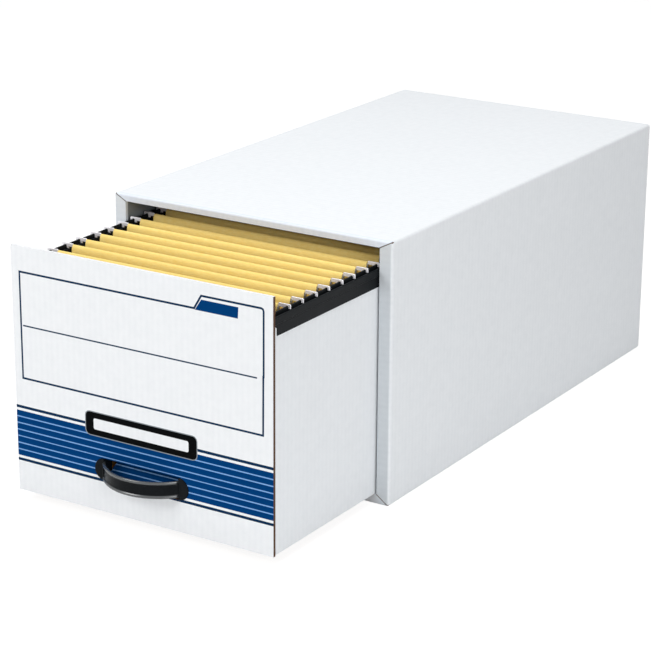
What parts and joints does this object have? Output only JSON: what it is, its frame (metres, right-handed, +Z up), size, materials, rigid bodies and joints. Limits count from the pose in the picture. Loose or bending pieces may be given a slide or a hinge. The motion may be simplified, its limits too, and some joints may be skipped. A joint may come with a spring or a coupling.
{
  "type": "file box",
  "caption": "White corrugated board file drawer box with steel side plates, blue striped front, bow handle, and hanging folders on plastic rails",
  "frame": {"origin": "Middle of the sleeve's base, on the surface that it stands on", "axes": "X to the right seen from the front, the drawer opens towards -Y, Z up"},
  "size_m": [0.3556, 0.8444, 0.2921],
  "materials": {
    "white_board": "matte",
    "kraft_board": "matte",
    "charcoal_steel": "satin",
    "black_plastic": "matte",
    "buff_card": "matte",
    "bright_rod": "brushed"
  },
  "bodies": {
    "root": {"shell_wrap": "white_board", "rim_left": "white_board", "rim_right": "white_board", "rim_top": "white_board", "rim_bottom": "white_board", "steel_plate_left": "charcoal_steel", "steel_plate_right": "charcoal_steel", "side_pad_left": "kraft_board", "side_pad_right": "kraft_board", "floor_liner": "kraft_board", "top_liner": "kraft_board", "back_panel": "white_board", "back_flap_left": "kraft_board", "back_flap_right": "kraft_board"},
    "drawer": {"tray_floor": "kraft_board", "tray_side_left": "white_board", "tray_side_right": "white_board", "tray_back": "white_board", "front_panel": "white_board", "front_liner": "kraft_board", "tray_front_inner": "kraft_board", "rail_left": "black_plastic", "rail_right": "black_plastic", "handle_grip": "black_plastic", "handle_retainer": "black_plastic"},
    "handle_flap": {"handle_flap": "white_board"},
    "folder_1": {"folder_1": "buff_card", "folder_rods_1": "bright_rod"},
    "folder_2": {"folder_2": "buff_card", "folder_rods_2": "bright_rod"},
    "folder_3": {"folder_3": "buff_card", "folder_rods_3": "bright_rod"},
    "folder_4": {"folder_4": "buff_card", "folder_rods_4": "bright_rod"},
    "folder_5": {"folder_5": "buff_card", "folder_rods_5": "bright_rod"}
  },
  "joints": [
    {"name": "drawer_slide", "type": "slide", "parent": "root", "child": "drawer", "axis": [0, -1, 0], "range_m": [-0.196, 0.22]},
    {"name": "handle_flap_hinge", "type": "hinge", "parent": "drawer", "child": "handle_flap", "pos_m": [0, -0.50365, 0.04745], "axis": [-1, 0, 0], "range_deg": [-57, 25]},
    {"name": "folder_1_slide", "type": "slide", "parent": "drawer", "child": "folder_1", "axis": [0, 1, 0], "range_m": [-0.009, 0.009]},
    {"name": "folder_2_slide", "type": "slide", "parent": "drawer", "child": "folder_2", "axis": [0, 1, 0], "range_m": [-0.009, 0.009]},
    {"name": "folder_3_slide", "type": "slide", "parent": "drawer", "child": "folder_3", "axis": [0, 1, 0], "range_m": [-0.009, 0.009]},
    {"name": "folder_4_slide", "type": "slide", "parent": "drawer", "child": "folder_4", "axis": [0, 1, 0], "range_m": [-0.009, 0.009]},
    {"name": "folder_5_slide", "type": "slide", "parent": "drawer", "child": "folder_5", "axis": [0, 1, 0], "range_m": [-0.009, 0.009]}
  ]
}
